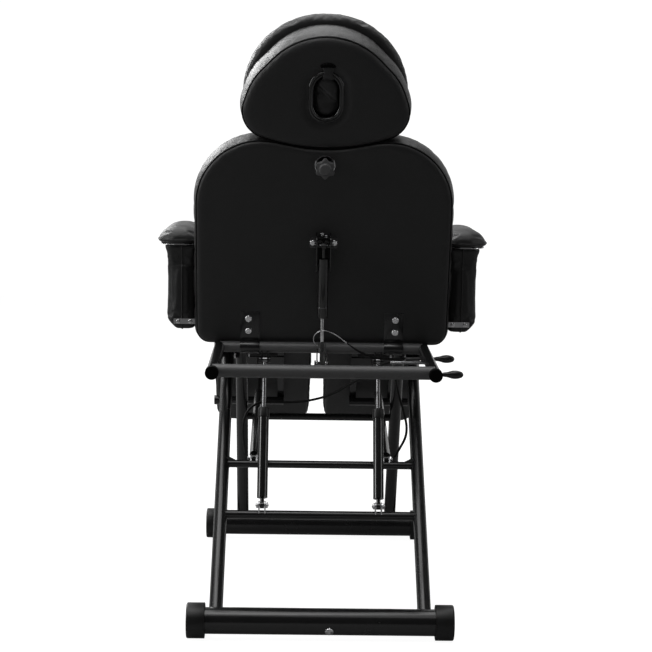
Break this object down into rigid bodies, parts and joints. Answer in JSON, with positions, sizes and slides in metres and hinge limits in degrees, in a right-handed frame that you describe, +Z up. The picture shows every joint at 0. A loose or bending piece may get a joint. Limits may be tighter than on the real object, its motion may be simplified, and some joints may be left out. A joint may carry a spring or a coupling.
{
  "type": "tattoo chair",
  "caption": "Reclining tattoo client chair on a folding-style tube base, with sliding headrest, armrests, split leg rests, gas springs and release levers.",
  "frame": {"origin": "on the floor, at the middle of the chair's bounding box", "axes": "+Z up, +Y the way the sitter faces, +X to the right in the picture's rear view"},
  "size_m": [0.8062, 1.3519, 1.4027],
  "materials": {
    "black_frame": "gloss black powder coat",
    "black_cap": "moulded",
    "chrome": "polished",
    "zinc": "zinc plated",
    "black_leather": "soft synthetic leather, fine grain",
    "board_cover": "thin synthetic leather over board",
    "spring_black": "satin black",
    "grip": "moulded",
    "cable": "ribbed sheath",
    "light_tube": "satin grey"
  },
  "bodies": {
    "base": {"foot_tubes": "black_frame", "foot_caps": "black_cap", "rear_leg_left": "black_frame", "rear_leg_right": "black_frame", "front_leg_left": "black_frame", "front_leg_right": "black_frame", "rear_crossbars": "black_frame", "front_crossbar": "black_frame", "base_fasteners": "zinc", "base_spring_brackets": "black_frame"},
    "seat_frame": {"seat_rail_left": "black_frame", "seat_rail_right": "black_frame", "rail_end_caps": "black_cap", "seat_rear_bar": "light_tube", "back_hinge_bar": "black_frame", "leg_hinge_bar": "black_frame", "seat_pivot_plates": "black_frame", "seat_spring_brackets": "black_frame", "lever_pivots": "zinc", "seat_board": "board_cover", "seat_cushion": "black_leather", "arm_posts": "black_leather", "arm_pad_left": "black_leather", "arm_pad_right": "black_leather", "arm_fittings": "chrome", "leg_release_cable_left": "cable", "leg_release_cable_right": "cable"},
    "tilt_cylinders": {"tilt_spring_cylinders": "spring_black"},
    "tilt_rods": {"tilt_spring_rods": "chrome"},
    "back": {"back_board": "board_cover", "back_cushion": "black_leather", "back_hinge_straps": "chrome", "back_spring_upper_bracket": "black_frame", "headrest_channel": "zinc"},
    "headrest": {"headrest_bar": "zinc", "headrest_board": "board_cover", "headrest_cushion": "black_leather", "face_hole_ring": "black_leather", "head_pillow": "black_leather"},
    "face_plug": {"face_plug": "black_leather"},
    "star_knob": {"star_knob": "black_cap"},
    "back_rod": {"back_spring_rod": "chrome", "back_release_cable": "cable"},
    "back_cylinder": {"back_spring_cylinder": "spring_black"},
    "back_lever": {"back_release_lever": "grip"},
    "leg_lever": {"leg_release_lever": "grip"},
    "leg_rest_left": {"leg_board_left": "board_cover", "leg_pad_left": "black_leather", "leg_frame_left": "black_frame"},
    "leg_bush_left": {"leg_spring_bush_left": "zinc"},
    "leg_cylinder_left": {"leg_spring_cylinder_left": "spring_black"},
    "leg_piston_left": {"leg_spring_piston_left": "zinc"},
    "leg_rod_left": {"leg_spring_rod_left": "chrome"},
    "leg_rest_right": {"leg_board_right": "board_cover", "leg_pad_right": "black_leather", "leg_frame_right": "black_frame"},
    "leg_bush_right": {"leg_spring_bush_right": "zinc"},
    "leg_cylinder_right": {"leg_spring_cylinder_right": "spring_black"},
    "leg_piston_right": {"leg_spring_piston_right": "zinc"},
    "leg_rod_right": {"leg_spring_rod_right": "chrome"}
  },
  "joints": [
    {"name": "seat_tilt", "type": "hinge", "parent": "base", "child": "seat_frame", "pos_m": [0, -0.01199, 0.549], "axis": [1, 0, 0], "range_deg": [0, 10]},
    {"name": "tilt_cylinder_swing", "type": "hinge", "parent": "base", "child": "tilt_cylinders", "pos_m": [0, -0.40753, 0.24924], "axis": [1, 0, 0], "range_deg": [-3.51, 0.2]},
    {"name": "tilt_rod_slide", "type": "slide", "parent": "tilt_cylinders", "child": "tilt_rods", "axis": [0, 0.4542, 0.8909], "range_m": [-0.0369, 0.0005]},
    {"name": "back_recline", "type": "hinge", "parent": "seat_frame", "child": "back", "pos_m": [0, -0.23599, 0.6], "axis": [1, 0, 0], "range_deg": [0, 77]},
    {"name": "back_rod_swing", "type": "hinge", "parent": "seat_frame", "child": "back_rod", "pos_m": [0, -0.26899, 0.567], "axis": [1, 0, 0], "range_deg": [-0.2, 79.61]},
    {"name": "back_cylinder_slide", "type": "slide", "parent": "back_rod", "child": "back_cylinder", "axis": [0, -0.1729, 0.9849], "range_m": [-0.0596, 0.0005]},
    {"name": "headrest_slide", "type": "slide", "parent": "back", "child": "headrest", "axis": [0, -0.225, 0.9744], "range_m": [0, 0.12]},
    {"name": "face_plug_pull", "type": "slide", "parent": "headrest", "child": "face_plug", "axis": [0, -0.9744, -0.225], "range_m": [0, 0.09]},
    {"name": "knob_turn", "type": "hinge", "parent": "back", "child": "star_knob", "pos_m": [0, -0.3208, 1.04739], "axis": [0, -0.9744, -0.225], "range_deg": [0, 270]},
    {"name": "back_lever_squeeze", "type": "hinge", "parent": "seat_frame", "child": "back_lever", "pos_m": [0.248, -0.25799, 0.58], "axis": [0, -1, 0], "range_deg": [0, 10], "stiffness_Nm_per_rad": 2, "springref_deg": -8.59},
    {"name": "leg_lever_squeeze", "type": "hinge", "parent": "seat_frame", "child": "leg_lever", "pos_m": [0.248, -0.48599, 0.58], "axis": [0, -1, 0], "range_deg": [0, 10], "stiffness_Nm_per_rad": 2, "springref_deg": -8.59},
    {"name": "leg_rest_left_lift", "type": "hinge", "parent": "seat_frame", "child": "leg_rest_left", "pos_m": [0, 0.30901, 0.6], "axis": [1, 0, 0], "range_deg": [0, 48.5]},
    {"name": "leg_bush_left_swing", "type": "hinge", "parent": "base", "child": "leg_bush_left", "pos_m": [0, -0.27482, 0.33401], "axis": [1, 0, 0], "range_deg": [-0.2, 5.96]},
    {"name": "leg_cylinder_left_swing", "type": "hinge", "parent": "leg_bush_left", "child": "leg_cylinder_left", "pos_m": [0, -0.27482, 0.33401], "axis": [1, 0, 0], "range_deg": [-0.2, 7.79]},
    {"name": "leg_piston_left_slide", "type": "slide", "parent": "leg_cylinder_left", "child": "leg_piston_left", "axis": [0, 0.9874, 0.1585], "range_m": [-0.0005, 0.0282]},
    {"name": "leg_rod_left_slide", "type": "slide", "parent": "leg_piston_left", "child": "leg_rod_left", "axis": [0, 0.9874, 0.1585], "range_m": [-0.0005, 0.1164]},
    {"name": "leg_rest_right_lift", "type": "hinge", "parent": "seat_frame", "child": "leg_rest_right", "pos_m": [0, 0.30901, 0.6], "axis": [1, 0, 0], "range_deg": [0, 48.5]},
    {"name": "leg_bush_right_swing", "type": "hinge", "parent": "base", "child": "leg_bush_right", "pos_m": [0, -0.27482, 0.33401], "axis": [1, 0, 0], "range_deg": [-0.2, 5.96]},
    {"name": "leg_cylinder_right_swing", "type": "hinge", "parent": "leg_bush_right", "child": "leg_cylinder_right", "pos_m": [0, -0.27482, 0.33401], "axis": [1, 0, 0], "range_deg": [-0.2, 7.79]},
    {"name": "leg_piston_right_slide", "type": "slide", "parent": "leg_cylinder_right", "child": "leg_piston_right", "axis": [0, 0.9874, 0.1585], "range_m": [-0.0005, 0.0282]},
    {"name": "leg_rod_right_slide", "type": "slide", "parent": "leg_piston_right", "child": "leg_rod_right", "axis": [0, 0.9874, 0.1585], "range_m": [-0.0005, 0.1164]}
  ],
  "couplings": [
    {"joint": "tilt_cylinder_swing", "follows": "seat_tilt", "ratio": -0.32409},
    {"joint": "tilt_rod_slide", "follows": "seat_tilt", "m_per_rad": -0.20461},
    {"joint": "back_rod_swing", "follows": "back_recline", "ratio": 1.0111},
    {"joint": "back_cylinder_slide", "follows": "back_recline", "m_per_rad": -0.04314},
    {"joint": "leg_bush_left_swing", "follows": "seat_tilt", "ratio": 0.56497},
    {"joint": "leg_cylinder_left_swing", "follows": "leg_rest_left_lift", "ratio": 0.15342},
    {"joint": "leg_piston_left_slide", "follows": "seat_tilt", "m_per_rad": 0.15584},
    {"joint": "leg_rod_left_slide", "follows": "leg_rest_left_lift", "m_per_rad": 0.13425},
    {"joint": "leg_bush_right_swing", "follows": "seat_tilt", "ratio": 0.56497},
    {"joint": "leg_cylinder_right_swing", "follows": "leg_rest_right_lift", "ratio": 0.15342},
    {"joint": "leg_piston_right_slide", "follows": "seat_tilt", "m_per_rad": 0.15584},
    {"joint": "leg_rod_right_slide", "follows": "leg_rest_right_lift", "m_per_rad": 0.13425}
  ]
}
